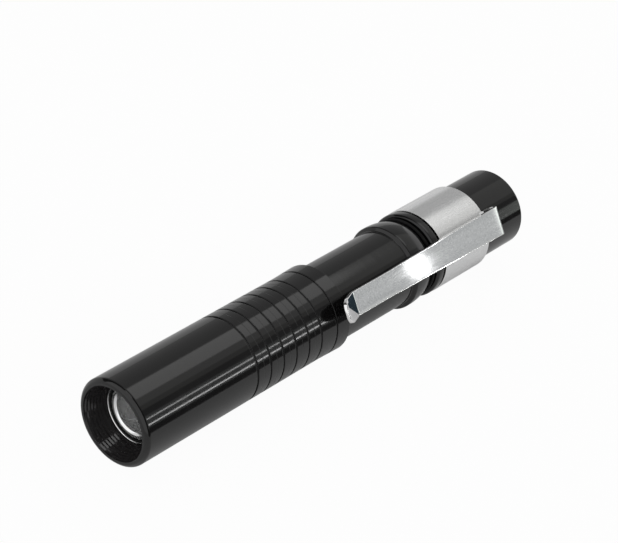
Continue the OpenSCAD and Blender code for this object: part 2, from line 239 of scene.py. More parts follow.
# rings left by the lathe: they run round the axis, so they depend on z and radius only
turningMarks, groupIn, groupOut = newGroup(
    "turningMarks",
    [("Vector", "NodeSocketVector", None), ("Density", "NodeSocketFloat", 9000.0)],
    [("Rings", "NodeSocketFloat"), ("Bands", "NodeSocketFloat")],
)
parts = splitVector(turningMarks, groupIn.outputs["Vector"])
along = addMath(turningMarks, "ADD", axisDistance(turningMarks, parts), parts["Z"])
for label, share, detail in (("Rings", 1.0, 3.0), ("Bands", 0.06, 2.0)):
    noise = turningMarks.nodes.new("ShaderNodeTexNoise")
    noise.noise_dimensions = "1D"
    noise.inputs["Scale"].default_value = share
    noise.inputs["Detail"].default_value = detail
    scaled = addMath(turningMarks, "MULTIPLY", along, groupIn.outputs["Density"])
    turningMarks.links.new(scaled, noise.inputs["W"])
    turningMarks.links.new(noise.outputs[0], groupOut.inputs[label])

# a fine even grain with a slow drift under it
surfaceGrain, groupIn, groupOut = newGroup(
    "surfaceGrain",
    [
        ("Vector", "NodeSocketVector", None),
        ("Fine", "NodeSocketFloat", 9000.0),
        ("Broad", "NodeSocketFloat", 300.0),
    ],
    [("Grain", "NodeSocketFloat"), ("Drift", "NodeSocketFloat")],
)
for label, source, detail in (("Grain", "Fine", 4.0), ("Drift", "Broad", 3.0)):
    noise = surfaceGrain.nodes.new("ShaderNodeTexNoise")
    noise.inputs["Detail"].default_value = detail
    surfaceGrain.links.new(groupIn.outputs["Vector"], noise.inputs["Vector"])
    surfaceGrain.links.new(groupIn.outputs[source], noise.inputs["Scale"])
    surfaceGrain.links.new(noise.outputs[0], groupOut.inputs[label])

# lines drawn along one way of the sheet by the brushing
brushedLines, groupIn, groupOut = newGroup(
    "brushedLines",
    [("Vector", "NodeSocketVector", None), ("Stretch", "NodeSocketVector", (9000.0, 9000.0, 260.0))],
    [("Lines", "NodeSocketFloat"), ("Streaks", "NodeSocketFloat")],
)
for label, share, detail in (("Lines", 1.0, 4.0), ("Streaks", 0.08, 2.0)):
    stretch = brushedLines.nodes.new("ShaderNodeVectorMath")
    stretch.operation = "MULTIPLY"
    brushedLines.links.new(groupIn.outputs["Vector"], stretch.inputs[0])
    brushedLines.links.new(groupIn.outputs["Stretch"], stretch.inputs[1])
    noise = brushedLines.nodes.new("ShaderNodeTexNoise")
    noise.inputs["Scale"].default_value = share
    noise.inputs["Detail"].default_value = detail
    brushedLines.links.new(stretch.outputs[0], noise.inputs["Vector"])
    brushedLines.links.new(noise.outputs[0], groupOut.inputs[label])

# worn and polished edges, from the shape's own sharpness
edgePolish, groupIn, groupOut = newGroup(
    "edgePolish",
    [("Low", "NodeSocketFloat", 0.52), ("High", "NodeSocketFloat", 0.62)],
    [("Edge", "NodeSocketFloat")],
)
shape = edgePolish.nodes.new("ShaderNodeNewGeometry")
edgeMask = addRange(
    edgePolish, shape.outputs["Pointiness"], groupIn.outputs["Low"], groupIn.outputs["High"]
)
edgePolish.links.new(edgeMask, groupOut.inputs["Edge"])
# the part of a noise's reach that is spread over a finish's gloss
noiseSpan = (0.3, 0.7)
print("shader groups built")


# finishes, one for each slot of the record

def newFinish(name, plain):
    # plain holds the sockets that are the same all over
    finish = bpy.data.materials.new(name)
    finish.use_nodes = True
    tree = finish.node_tree
    tree.nodes.clear()
    shader = tree.nodes.new("ShaderNodeBsdfPrincipled")
    output = tree.nodes.new("ShaderNodeOutputMaterial")
    tree.links.new(shader.outputs[0], output.inputs["Surface"])
    for label, value in plain.items():
        shader.inputs[label].default_value = value
    place = tree.nodes.new("ShaderNodeTexCoord").outputs["Object"]
    return finish, tree, shader, place


def useGroup(tree, group, **values):
    node = tree.nodes.new("ShaderNodeGroup")
    node.node_tree = group
    for label, value in values.items():
        if isinstance(value, (int, float, tuple)):
            node.inputs[label].default_value = value
        else:
            tree.links.new(value, node.inputs[label])
    return node


def mixColour(tree, factor, first, second):
    node = tree.nodes.new("ShaderNodeMix")
    node.data_type = "RGBA"
    tree.links.new(factor, node.inputs["Factor"])
    for label, value in (("A", first), ("B", second)):
        socket = [s for s in node.inputs if s.name == label and s.type == "RGBA"][0]
        if isinstance(value, tuple):
            socket.default_value = (*value, 1.0)
        else:
            tree.links.new(value, socket)
    return [s for s in node.outputs if s.type == "RGBA"][0]


def addBump(tree, shader, height, depth, strength):
    bump = tree.nodes.new("ShaderNodeBump")
    bump.inputs["Distance"].default_value = depth * mm
    bump.inputs["Strength"].default_value = strength
    tree.links.new(height, bump.inputs["Height"])
    tree.links.new(bump.outputs["Normal"], shader.inputs["Normal"])


def anodisedFinish():
    look = {
        "deep": (0.0028, 0.0027, 0.0029),
        "worn": (0.0075, 0.0073, 0.0070),
        "gloss": (0.07, 0.13),
        "reflect": 0.50,
        "mouth": (0.021, 0.0195, 0.020),
        "mouthEdge": (5.9, 6.0),
        "mouthFrom": (83.5, 83.9),
        "turning": 14000.0, "fine": 5200.0, "broad": 160.0,
        "edgeFrom": 0.53, "edgeFull": 0.66, "edgeWear": 0.7, "driftWear": 0.8,
        "bandShare": 0.6, "driftShare": 0.4,
        "ringDepth": 0.0025, "ringStrength": 0.25,
    }
    finish, tree, shader, place = newFinish("blackAnodised", {"Specular IOR Level": look["reflect"]})
    marks = useGroup(tree, turningMarks, Vector=place, Density=look["turning"])
    grain = useGroup(tree, surfaceGrain, Vector=place, Fine=look["fine"], Broad=look["broad"])
    edge = useGroup(tree, edgePolish, Low=look["edgeFrom"], High=look["edgeFull"])
    drifted = addMath(tree, "MULTIPLY", grain.outputs["Drift"], look["driftWear"])
    rubbed = addMath(tree, "MULTIPLY", edge.outputs["Edge"], look["edgeWear"])
    worn = addMath(tree, "MAXIMUM", rubbed, drifted)
    body = mixColour(tree, worn, look["deep"], look["worn"])
    # the turned cone of the mouth is given a lighter black than the shell
    parts = splitVector(tree, place)
    inner = addRange(tree, axisDistance(tree, parts), *[r * mm for r in look["mouthEdge"]], 1.0, 0.0)
    ahead = addRange(tree, parts["Z"], *[z * mm for z in look["mouthFrom"]])
    cone = addMath(tree, "MULTIPLY", inner, ahead)
    tree.links.new(mixColour(tree, cone, body, look["mouth"]), shader.inputs["Base Color"])
    banded = addMath(tree, "MULTIPLY", marks.outputs["Bands"], look["bandShare"])
    clouded = addMath(tree, "MULTIPLY", grain.outputs["Drift"], look["driftShare"])
    rough = addMath(tree, "ADD", banded, clouded)
    tree.links.new(addRange(tree, rough, *noiseSpan, *look["gloss"]), shader.inputs["Roughness"])
    addBump(tree, shader, marks.outputs["Rings"], look["ringDepth"], look["ringStrength"])
    return finish


def clipFinish(name, gloss):
    look = {
        "bright": (0.90, 0.90, 0.905),
        "dull": (0.62, 0.625, 0.63),
        "polished": (0.90, 0.90, 0.89),
        "tipGloss": 0.03,
        "tipFrom": (43.1, 43.5),
        "stretch": (5200.0, 5200.0, 260.0), "fine": 5600.0, "broad": 420.0,
        "edgeFrom": 0.515, "edgeFull": 0.56,
        "streakShare": 0.3, "grainShare": 0.7, "toneSpan": (0.34, 0.66),
        "grainDepth": 0.001, "grainStrength": 0.12,
    }
    finish, tree, shader, place = newFinish(name, {"Metallic": 1.0})
    lines = useGroup(tree, brushedLines, Vector=place, Stretch=look["stretch"])
    grain = useGroup(tree, surfaceGrain, Vector=place, Fine=look["fine"], Broad=look["broad"])
    edge = useGroup(tree, edgePolish, Low=look["edgeFrom"], High=look["edgeFull"])
    streaked = addMath(tree, "MULTIPLY", lines.outputs["Streaks"], look["streakShare"])
    speckled = addMath(tree, "MULTIPLY", grain.outputs["Grain"], look["grainShare"])
    tone = addRange(tree, addMath(tree, "ADD", streaked, speckled), *look["toneSpan"])
    body = mixColour(tree, tone, look["dull"], look["bright"])
    tree.links.new(mixColour(tree, edge.outputs["Edge"], body, look["polished"]), shader.inputs["Base Color"])
    # the turned-up tip was polished by its press tool
    tip = addRange(tree, splitVector(tree, place)["Z"], *[z * mm for z in look["tipFrom"]])
    rough = addRange(tree, lines.outputs["Lines"], *noiseSpan, gloss[1], gloss[0])
    tree.links.new(addRange(tree, tip, 0.0, 1.0, rough, look["tipGloss"]), shader.inputs["Roughness"])
    height = addMath(tree, "MULTIPLY", grain.outputs["Grain"], addRange(tree, tip, 0.0, 1.0, 1.0, 0.0))
    addBump(tree, shader, height, look["grainDepth"], look["grainStrength"])
    return finish


def lensFinish():
    look = {
        "tinted": (0.97, 0.98, 0.985),
        "clear": (0.99, 0.99, 0.99),
        "fine": 2500.0, "broad": 350.0,
        "frost": 0.42, "frostEnds": (83.2, 83.7),
        "haze": 0.03, "hazeSpan": (0.4, 0.8),
    }
    finish, tree, shader, place = newFinish(
        "clearLens", {"Transmission Weight": 1.0, "IOR": 1.49, "Metallic": 0.0}
    )
    grain = useGroup(tree, surfaceGrain, Vector=place, Fine=look["fine"], Broad=look["broad"])
    tint = mixColour(tree, grain.outputs["Drift"], look["tinted"], look["clear"])
    tree.links.new(tint, shader.inputs["Base Color"])
    # the face is clear, the moulded sides behind it are frosted
    height = splitVector(tree, place)["Z"]
    frost = addRange(tree, height, *[z * mm for z in look["frostEnds"]], look["frost"], 0.0)
    rough = addRange(tree, grain.outputs["Grain"], *look["hazeSpan"], 0.0, look["haze"])
    tree.links.new(addMath(tree, "ADD", frost, rough), shader.inputs["Roughness"])
    return finish


def plainFinish(name, tones, gloss, dent=0.006, metal=0.0, turned=0.0, shine=0.5):
    # two tones drifting into each other, grain in the gloss and in the surface
    look = {"fine": 4000.0, "broad": 260.0, "toneSpan": (0.35, 0.65), "strength": 0.4}
    finish, tree, shader, place = newFinish(name, {"Metallic": metal, "Specular IOR Level": shine})
    grain = useGroup(tree, surfaceGrain, Vector=place, Fine=look["fine"], Broad=look["broad"])
    tone = addRange(tree, grain.outputs["Drift"], *look["toneSpan"])
    tree.links.new(mixColour(tree, tone, *tones), shader.inputs["Base Color"])
    height = grain.outputs["Grain"]
    if turned:
        height = useGroup(tree, turningMarks, Vector=place, Density=turned).outputs["Rings"]
    tree.links.new(addRange(tree, height, *noiseSpan, *gloss), shader.inputs["Roughness"])
    addBump(tree, shader, height, dent, look["strength"])
    return finish


finishes = {
    "black_anodised": anodisedFinish(),
    "clip_steel": clipFinish("clipSteel", (0.035, 0.07)),
    "clear_lens": lensFinish(),
    "black_rubber": plainFinish(
        "blackRubber", ((0.006, 0.006, 0.006), (0.011, 0.011, 0.011)), (0.55, 0.75), shine=0.15
    ),
    "white_plastic": plainFinish("whitePlastic", ((0.78, 0.78, 0.76), (0.84, 0.84, 0.83)), (0.35, 0.5)),
    "dark_plastic": plainFinish("darkPlastic", ((0.012, 0.012, 0.014), (0.022, 0.022, 0.024)), (0.35, 0.5)),
    "red_insulation": plainFinish("redInsulation", ((0.42, 0.018, 0.016), (0.5, 0.03, 0.025)), (0.25, 0.4)),
    "green_board": plainFinish("greenBoard", ((0.012, 0.085, 0.03), (0.02, 0.12, 0.045)), (0.2, 0.35)),
    "grey_sleeve": plainFinish("greySleeve", ((0.25, 0.27, 0.30), (0.30, 0.32, 0.35)), (0.18, 0.3)),
    "cell_paste": plainFinish("cellPaste", ((0.02, 0.02, 0.02), (0.045, 0.045, 0.045)), (0.8, 0.95)),
    "blue_seal": plainFinish("blueSeal", ((0.03, 0.07, 0.30), (0.04, 0.09, 0.36)), (0.4, 0.55)),
    "bare_aluminium": plainFinish(
        "bareAluminium", ((0.78, 0.78, 0.79), (0.86, 0.86, 0.87)), (0.22, 0.38), metal=1.0, turned=8000.0
    ),
    "brass": plainFinish(
        "turnedBrass", ((0.62, 0.42, 0.16), (0.74, 0.53, 0.22)), (0.2, 0.36), metal=1.0, turned=8000.0
    ),
    "spring_brass": plainFinish(
        "springBrass", ((0.68, 0.48, 0.18), (0.8, 0.6, 0.27)), (0.16, 0.3), metal=1.0
    ),
    "cell_steel": plainFinish(
        "cellSteel", ((0.62, 0.62, 0.63), (0.74, 0.74, 0.74)), (0.18, 0.32), metal=1.0
    ),
}
print("finishes made:", len(finishes))

# the solids that stay in view get their slot's finish
for subpart in frame["record"]["subparts"]:
    node = frame["nodes"][subpart["node"]]
    finish = finishes[subpart["material_slot"]]
    if not node.material_slots:
        node.data.materials.append(finish)
    for place in node.material_slots:
        place.material = finish
print("solids dressed")


# head: plain shell, bevelled front edge, cone with the lathe's rings in it
headPlan = {
    "rear": 64.85, "front": 87.6, "outer": 7.0, "bore": 6.10,
    "bevel": 0.55, "mouth": 5.95, "lip": 4.9, "coneEnd": 84.1, "seat": 83.7,
    "rings": 7, "ringDepth": 0.05, "steps": 144,
    "rearRound": 0.09, "bevelRound": 0.24, "mouthRound": 0.06, "lipRound": 0.08, "smooth": 12,
}


def makeHead():
    p = headPlan
    cone = []
    run = (p["lip"] - p["mouth"], p["coneEnd"] - p["front"])
    length = math.hypot(*run)
    out = (-run[1] / length, run[0] / length)  # away from the axis, into the wall
    for i in range(1, 2 * p["rings"]):
        t = i / (2 * p["rings"])
        sink = p["ringDepth"] * (i % 2)
        cone.append((p["mouth"] + run[0] * t + out[0] * sink, p["front"] + run[1] * t + out[1] * sink))
    profile = [
        (p["bore"], p["rear"]), (p["outer"], p["rear"]),
        (p["outer"], p["front"] - p["bevel"]), (p["outer"] - p["bevel"], p["front"]),
        (p["mouth"], p["front"]), *cone, (p["lip"], p["coneEnd"]),
        (p["lip"], p["seat"]), (p["bore"], p["seat"]), (p["bore"], p["rear"]),
    ]
    head = drawWire("headShell", asRing(profile))
    roundCorners(head, profile[1:2], p["rearRound"])
    roundCorners(head, profile[2:4], p["bevelRound"], 5)
    roundCorners(head, profile[4:5], p["mouthRound"])
    roundCorners(head, [(p["lip"], p["coneEnd"])], p["lipRound"])
    spinWire(head, p["steps"])
    smoothOff(head, p["smooth"])
    settle(head, "barrel", "black_anodised", finishes["black_anodised"], "head")


makeHead()


# barrel: ringed grip with a flare, middle tube, collar
barrelPlan = {
    "bore": 5.45, "nose": 6.05, "socket": 6.10, "tube": 6.38, "grip": 7.0, "flare": 7.15,
    "rear": 23.55, "socketTop": 29.2, "crestFrom": 27.2, "crest": 27.85, "collarTop": 28.25,
    "gripRear": 44.25, "flareEnd": 48.95, "gripFront": 64.85, "noseTop": 69.85,
    "collar": 7.03, "collarRear": 6.34, "crownSteps": 9,
    "grooveWidth": 0.46, "grooveFloor": 0.26, "grooveDepth": 0.24, "groovePitch": 2.82, "grooves": 6,
    "flareGroove": 46.84, "hairWidth": 0.10, "hairDepth": 0.012, "steps": 144,
    "landRound": 0.11, "floorRound": 0.1, "flareRound": 0.16, "tubeRound": 0.12,
    "collarRound": 0.15, "rearRound": 0.08, "smooth": 8,
}


def crownArc(p):
    # rounded rear of the collar, an arc that ends level at the crest
    length = p["crestFrom"] - p["rear"]
    rise = p["collar"] - p["collarRear"]
    bend = (length ** 2 + rise ** 2) / (2 * rise)
    turn = math.asin(length / bend)
    points = []
    for i in range(p["crownSteps"] + 1):
        a = turn * (i / p["crownSteps"] - 1)
        points.append((p["collar"] - bend + bend * math.cos(a), p["crestFrom"] + bend * math.sin(a)))
    return points


def makeBarrel():
    p = barrelPlan
    slope = (p["grip"] - p["flare"]) / (p["flareEnd"] - p["gripRear"])
    lands = []
    floors = []
    outside = [(p["flare"], p["gripRear"])]
    starts = [p["flareGroove"]]
    last = p["gripFront"] - p["grooveWidth"]
    starts += [last - i * p["groovePitch"] for i in reversed(range(p["grooves"]))]
    inset = (p["grooveWidth"] - p["grooveFloor"]) / 2
    hair = p["hairWidth"] / 2
    for index, start in enumerate(starts):
        z = start + inset
        top = start + p["grooveWidth"] - inset
        if index == len(starts) - 1:
            top = start + p["grooveWidth"]
        low = p["grip"] - p["grooveDepth"]
        edges = (p["grip"], p["grip"])
        if index == 0:
            low = p["flare"] - p["grooveDepth"]
            edges = [p["flare"] + slope * (at - p["gripRear"]) for at in (z, top)]
        lands.append((edges[0], z))
        floors += [(low, z), (low, top)]
        outside += [(edges[0], z), (low, z), (low, top)]
        if index < len(starts) - 1:
            lands.append((edges[1], top))
            outside.append((edges[1], top))
        if index == 0:
            outside.append((p["grip"], p["flareEnd"]))
        elif index < len(starts) - 1:
            # a fine line turned half way along each land
            middle = (start + p["grooveWidth"] + starts[index + 1]) / 2
            outside += [
                (p["grip"], middle - hair), (p["grip"] - p["hairDepth"], middle), (p["grip"], middle + hair),
            ]
    crown = crownArc(p)
    profile = [
        (p["bore"], p["socketTop"]), (p["socket"], p["socketTop"]), (p["socket"], p["rear"]),
        *crown, (p["collar"], p["crest"]), (p["tube"], p["collarTop"]), (p["tube"], p["gripRear"]),
        *outside, (p["nose"], p["gripFront"]), (p["nose"], p["noseTop"]), (p["bore"], p["noseTop"]),
        (p["bore"], p["socketTop"]),
    ]
    barrel = drawWire("barrelTube", asRing(profile))
    roundCorners(barrel, lands, p["landRound"], 4)
    roundCorners(barrel, floors[:-1], p["floorRound"])
    roundCorners(barrel, [(p["flare"], p["gripRear"])], p["flareRound"], 4)
    roundCorners(barrel, [(p["tube"], p["gripRear"])], p["tubeRound"])
    shoulder = [(p["collar"], p["crest"]), (p["tube"], p["collarTop"])]
    roundCorners(barrel, shoulder, p["collarRound"], 8)
    roundCorners(barrel, crown[:1], p["rearRound"])
    spinWire(barrel, p["steps"])
    smoothOff(barrel, p["smooth"])
    settle(barrel, "barrel", "black_anodised", finishes["black_anodised"], "barrel")


makeBarrel()


# tail cap: rear rim round the button, seat for the band, flange, rubber ring, threaded nose
tailPlan = {
    "hole": 3.55, "outer": 6.48, "rimBevel": 0.3, "flange": 7.03, "flangeRear": 21.12, "flangeTop": 22.6,
    "seat": 6.05, "seatTop": 24.35, "core": 5.78, "noseTop": 29.05, "bore": 5.45, "boardSeat": 11.19,
    "pocket": 4.9, "endWall": 2.19, "steps": 144,
    "threadPitch": 1.0, "threadTurns": 4, "threadFrom": 24.75, "threadCrest": 6.02,
    "threadRoot": 5.70, "threadSteps": 72, "rootHalf": 0.36, "crestHalf": 0.1, "threadRound": 0.05,
    "ringCentre": (6.33, 23.07), "ringWire": 0.26, "ringCuts": 16, "ringSmooth": 40,
    "seatSlope": 0.2, "noseBevel": (0.2, 0.25), "holeBevel": 0.12,
    "rimRound": 0.12, "flangeRound": 0.1, "seatRound": 0.05, "near": 0.01,
}


def makeTailCap():
    p = tailPlan
    profile = [
        (p["hole"], 0), (p["outer"] - p["rimBevel"], 0), (p["outer"], p["rimBevel"]),
        (p["outer"], p["flangeRear"]), (p["flange"], p["flangeRear"]),
        (p["flange"], p["flangeTop"] - p["rimBevel"]), (p["flange"] - p["rimBevel"], p["flangeTop"]),
        (p["seat"], p["flangeTop"]), (p["seat"], p["seatTop"]), (p["core"], p["seatTop"] + p["seatSlope"]),
        (p["core"], p["noseTop"] - p["noseBevel"][1]), (p["core"] - p["noseBevel"][0], p["noseTop"]),
        (p["bore"], p["noseTop"]),
        (p["bore"], p["boardSeat"]), (p["pocket"], p["boardSeat"]), (p["pocket"], p["endWall"]),
        (p["hole"], p["endWall"]), (p["hole"], 0),
    ]
    cap = drawWire("tailCapShell", asRing(profile))
    roundCorners(cap, profile[1:3], p["rimRound"], 4)
    roundCorners(cap, profile[4:7], p["flangeRound"])
    roundCorners(cap, profile[7:9], p["seatRound"], 2)
    spinWire(cap, p["steps"])
    # a small bevel round the button's hole
    near = p["near"]
    pickVertices(cap, lambda v: abs(math.hypot(v.x, v.y) - p["hole"]) < near and v.z < near)
    bpy.ops.mesh.bevel(offset=p["holeBevel"] * mm, segments=3, affect="EDGES")
    closeUp()
    smoothOff(cap)
    settle(cap, "tail_cap", "black_anodised", finishes["black_anodised"], "tail_cap")


def makeTailRing():
    # the rubber ring in the gap between flange and collar
    p = tailPlan
    out, up = p["ringCentre"]
    turns = [i * 2 * math.pi / p["ringCuts"] for i in range(p["ringCuts"])]
    profile = [(out + p["ringWire"] * math.cos(a), up + p["ringWire"] * math.sin(a)) for a in turns]
    ring = drawWire("tailRing", asRing([*profile, profile[0]]))
    spinWire(ring, p["steps"])
    smoothOff(ring, p["ringSmooth"])
    settle(ring, "tail_cap", "black_rubber", finishes["black_rubber"], "tail_o_ring")


def windUp(piece, pitch, turns, steps):
    # winds a closed profile up the axis and closes its two ends
    bpy.ops.mesh.select_all(action="SELECT")
    bpy.ops.mesh.edge_face_add()
    bpy.ops.mesh.delete(type="ONLY_FACE")
    bpy.ops.object.mode_set(mode="OBJECT")
    applyModifier(
        piece, "SCREW", axis="Z", angle=2 * math.pi, screw_offset=pitch * mm,
        iterations=turns, steps=steps, render_steps=steps, use_merge_vertices=False,
    )
    bpy.ops.object.mode_set(mode="EDIT")
    bpy.ops.mesh.select_all(action="DESELECT")
    bpy.ops.mesh.select_mode(type="EDGE")
    bpy.ops.mesh.select_non_manifold(extend=False)
    bpy.ops.mesh.fill_holes(sides=0)
    bpy.ops.mesh.select_mode(type="VERT")
    closeUp()


def makeThread():
    # one tooth wound up the nose
    p = tailPlan
    middle = p["threadFrom"]
    tooth = [
        (p["threadRoot"], middle - p["rootHalf"]), (p["threadCrest"], middle - p["crestHalf"]),
        (p["threadCrest"], middle + p["crestHalf"]), (p["threadRoot"], middle + p["rootHalf"]),
    ]
    thread = drawWire("tailThread", asRing(tooth))
    roundCorners(thread, tooth[1:3], p["threadRound"], 2)
    windUp(thread, p["threadPitch"], p["threadTurns"], p["threadSteps"])
    smoothOff(thread)
    settle(thread, "tail_cap", "black_anodised", finishes["black_anodised"])


makeTailCap()
makeTailRing()
makeThread()


# switch spring: wound wire on its own mesh; the real one shortens towards the contact as the button goes in
springPlan = {
    "radius": 1.2, "wire": 0.15, "low": 7.45, "high": 9.95, "turns": 3, "sides": 12, "steps": 48,
    "contact": 10.2, "pressed": 0.6,
}


def makeSwitchSpring():
    p = springPlan
    section = []
    for i in range(p["sides"] + 1):
        a = 2 * math.pi * (i % p["sides"]) / p["sides"]
        section.append((p["radius"] + p["wire"] * math.cos(a), p["low"] + p["wire"] * math.sin(a)))
    spring = drawWire("switchSpring", asRing(section))
    windUp(spring, (p["high"] - p["low"]) / p["turns"], p["turns"], p["steps"])
    smoothOff(spring)
    settle(spring, "tail_cap", "cell_steel", finishes["cell_steel"], "switch_spring")
    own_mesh(spring)


makeSwitchSpring()


# button: soft rubber cap with a low crown and one ring pressed in
buttonPlan = {
    "face": 0.6, "stem": 3.5, "flange": 4.4, "flangeRear": 2.2, "top": 3.2,
    "crownDrop": 0.14, "crownSteps": 6, "ring": 2.3, "ringDepth": 0.1, "steps": 96,
    "ringFloor": (0.12, 0.3), "ringWidth": 0.42, "ringLip": 0.05, "edgeRound": 0.32, "flangeRound": 0.12,
}


def makeButton():
    p = buttonPlan
    crown = []
    for i in range(p["crownSteps"] + 1):
        r = p["ring"] * i / p["crownSteps"]
        crown.append((r, p["face"] + p["crownDrop"] * (r / p["stem"]) ** 2))
    edge = p["face"] + p["crownDrop"]
    ringZ = crown[-1][1]
    floor = [(p["ring"] + out, ringZ + p["ringDepth"]) for out in p["ringFloor"]]
    profile = [
        *crown, *floor, (p["ring"] + p["ringWidth"], edge - p["ringLip"]), (p["stem"], edge),
        (p["stem"], p["flangeRear"]), (p["flange"], p["flangeRear"]), (p["flange"], p["top"]), (0, p["top"]),
    ]
    button = drawWire("tailButton", asRing(profile))
    roundCorners(button, [(p["stem"], edge)], p["edgeRound"], 4)
    roundCorners(button, [(p["flange"], z) for z in (p["flangeRear"], p["top"])], p["flangeRound"])
    spinWire(button, p["steps"])
    smoothOff(button)
    settle(button, "button", "black_rubber", finishes["black_rubber"], "button")


makeButton()


# lens: clear collimator, pocket over the diode, and a bright ring set round its face
lensPlan = {
    "flange": 6.0, "flangeTop": 83.3, "flangeRear": 82.3, "side": 4.5,
    "rear": 75.9, "rearRadius": 2.6, "pocket": 1.75, "pocketTop": 77.4,
    "disc": 3.08, "discFace": 83.5, "step": 2.78, "stepFace": 83.58, "discRise": 0.14, "discSteps": 8,
    "bandOuter": 3.62, "bandInner": 3.14, "bandTop": 83.90, "bandLow": 83.64,
    # the black ring between band and bead is painted shade for the gap there
    "pane": (3.7, 4.22), "paneFace": 83.66, "seal": (4.26, 4.5), "sealTop": 83.84,
    "bead": (4.54, 4.78), "beadTop": 83.98, "beadFoot": 83.6, "beadSteps": 6, "steps": 128,
    "stepRun": 0.06, "faceRound": 0.05, "footGap": 0.02, "bandFlat": 0.08, "bandDrop": 0.06,
    "bandRound": 0.04, "sealRound": 0.08, "smooth": 40,
}
ringBright = plainFinish(
    "ringBright", ((0.88, 0.88, 0.88), (0.95, 0.95, 0.95)), (0.08, 0.16), metal=1.0, dent=0.002
)


def makeLens():
    p = lensPlan
    front = []
    for i in range(p["discSteps"] + 1):
        r = p["step"] * i / p["discSteps"]
        front.append((r, p["stepFace"] + p["discRise"] * (1 - (r / p["step"]) ** 2)))
    profile = [
        *front, (p["step"] + p["stepRun"], p["discFace"]), (p["disc"], p["discFace"]),
        (p["disc"], p["flangeTop"]),
        (p["pane"][0], p["flangeTop"]), (p["pane"][0], p["paneFace"]), (p["pane"][1], p["paneFace"]),
        (p["pane"][1], p["flangeTop"]), (p["flange"], p["flangeTop"]), (p["flange"], p["flangeRear"]),
        (p["side"], p["flangeRear"]),
        (p["rearRadius"], p["rear"]), (p["pocket"], p["rear"]), (p["pocket"], p["pocketTop"]),
        (0, p["pocketTop"]),
    ]
    lens = drawWire("lensBody", asRing(profile))
    corners = [(p["disc"], p["discFace"]), *[(r, p["paneFace"]) for r in p["pane"]]]
    roundCorners(lens, corners, p["faceRound"], 2)
    spinWire(lens, p["steps"])
    smoothOff(lens, p["smooth"])
    settle(lens, "barrel", "clear_lens", finishes["clear_lens"], "lens")


def makeLensRing():
    # a sloped band that faces the axis, and a thin bead outside it
    p = lensPlan
    foot = p["flangeTop"] + p["footGap"]
    middle = sum(p["bead"]) / 2
    half = p["bead"][1] - middle
    rise = p["beadTop"] - p["beadFoot"]
    bead = [(p["bead"][0], foot)]
    for i in range(p["beadSteps"] + 1):
        a = math.pi * i / p["beadSteps"]
        bead.append((middle - half * math.cos(a), p["beadFoot"] + rise * math.sin(a)))
    bead += [(p["bead"][1], foot), bead[0]]
    band = [
        (p["bandInner"], foot), (p["bandInner"], p["bandLow"]),
        (p["bandOuter"] - p["bandFlat"], p["bandTop"]),
        (p["bandOuter"], p["bandTop"] - p["bandDrop"]), (p["bandOuter"], foot), (p["bandInner"], foot),
    ]
    ring = drawWire("lensRing", asRing(band))
    roundCorners(ring, band[1:4], p["bandRound"])
    spinWire(ring, p["steps"])
    bpy.ops.object.mode_set(mode="OBJECT")
    rim = drawWire("lensBead", asRing(bead))
    spinWire(rim, p["steps"])
    bpy.ops.object.mode_set(mode="OBJECT")
    clearSelection()
    rim.select_set(True)
    ring.select_set(True)
    bpy.context.view_layer.objects.active = ring
    bpy.ops.object.join()
    smoothOff(ring, p["smooth"])
    settle(ring, "barrel", "bare_aluminium", ringBright, "lens")


def makeLensShadeRing():
    # dark ring filling the gap between the band and the bead, painted shade for that gap
    p = lensPlan
    inner, outer = p["seal"]
    low = p["flangeTop"] + p["footGap"]
    top = p["sealTop"]
    profile = [(inner, low), (inner, top), (outer, top), (outer, low), (inner, low)]
    seal = drawWire("lensShadeRing", asRing(profile))
    roundCorners(seal, profile[1:3], p["sealRound"])
    spinWire(seal, p["steps"])
    smoothOff(seal, p["smooth"])
    settle(seal, "barrel", "black_rubber", finishes["black_rubber"], "lens")


makeLens()
makeLensRing()
makeLensShadeRing()


# clip: one folded sheet, split at the fold where it springs
clipPlan = {
    "sheet": 0.55, "bandInner": 6.53, "bandRear": 9.7, "bandFront": 20.7,
    "tongueHeight": 6.75, "tongueRear": 8.2, "tongueFront": 9.85,
    "foldPlace": 8.05, "foldRadius": 0.25, "bendPlace": 43.15, "lean": 0.25,
    "tipAngle": 29, "tipBend": 0.6, "tipLength": 4.6, "tipCorner": 1.45,
    "rearWidth": 4.75, "frontWidth": 3.75, "spare": 0.2,
    "bendSteps": 10, "plateSteps": 12, "tipSteps": 6, "edge": 0.08, "edgeAngle": 50,
    "strips": 8, "cornerCuts": 9, "steps": 144,
}
bandSteel = clipFinish("bandSteel", (0.20, 0.28))


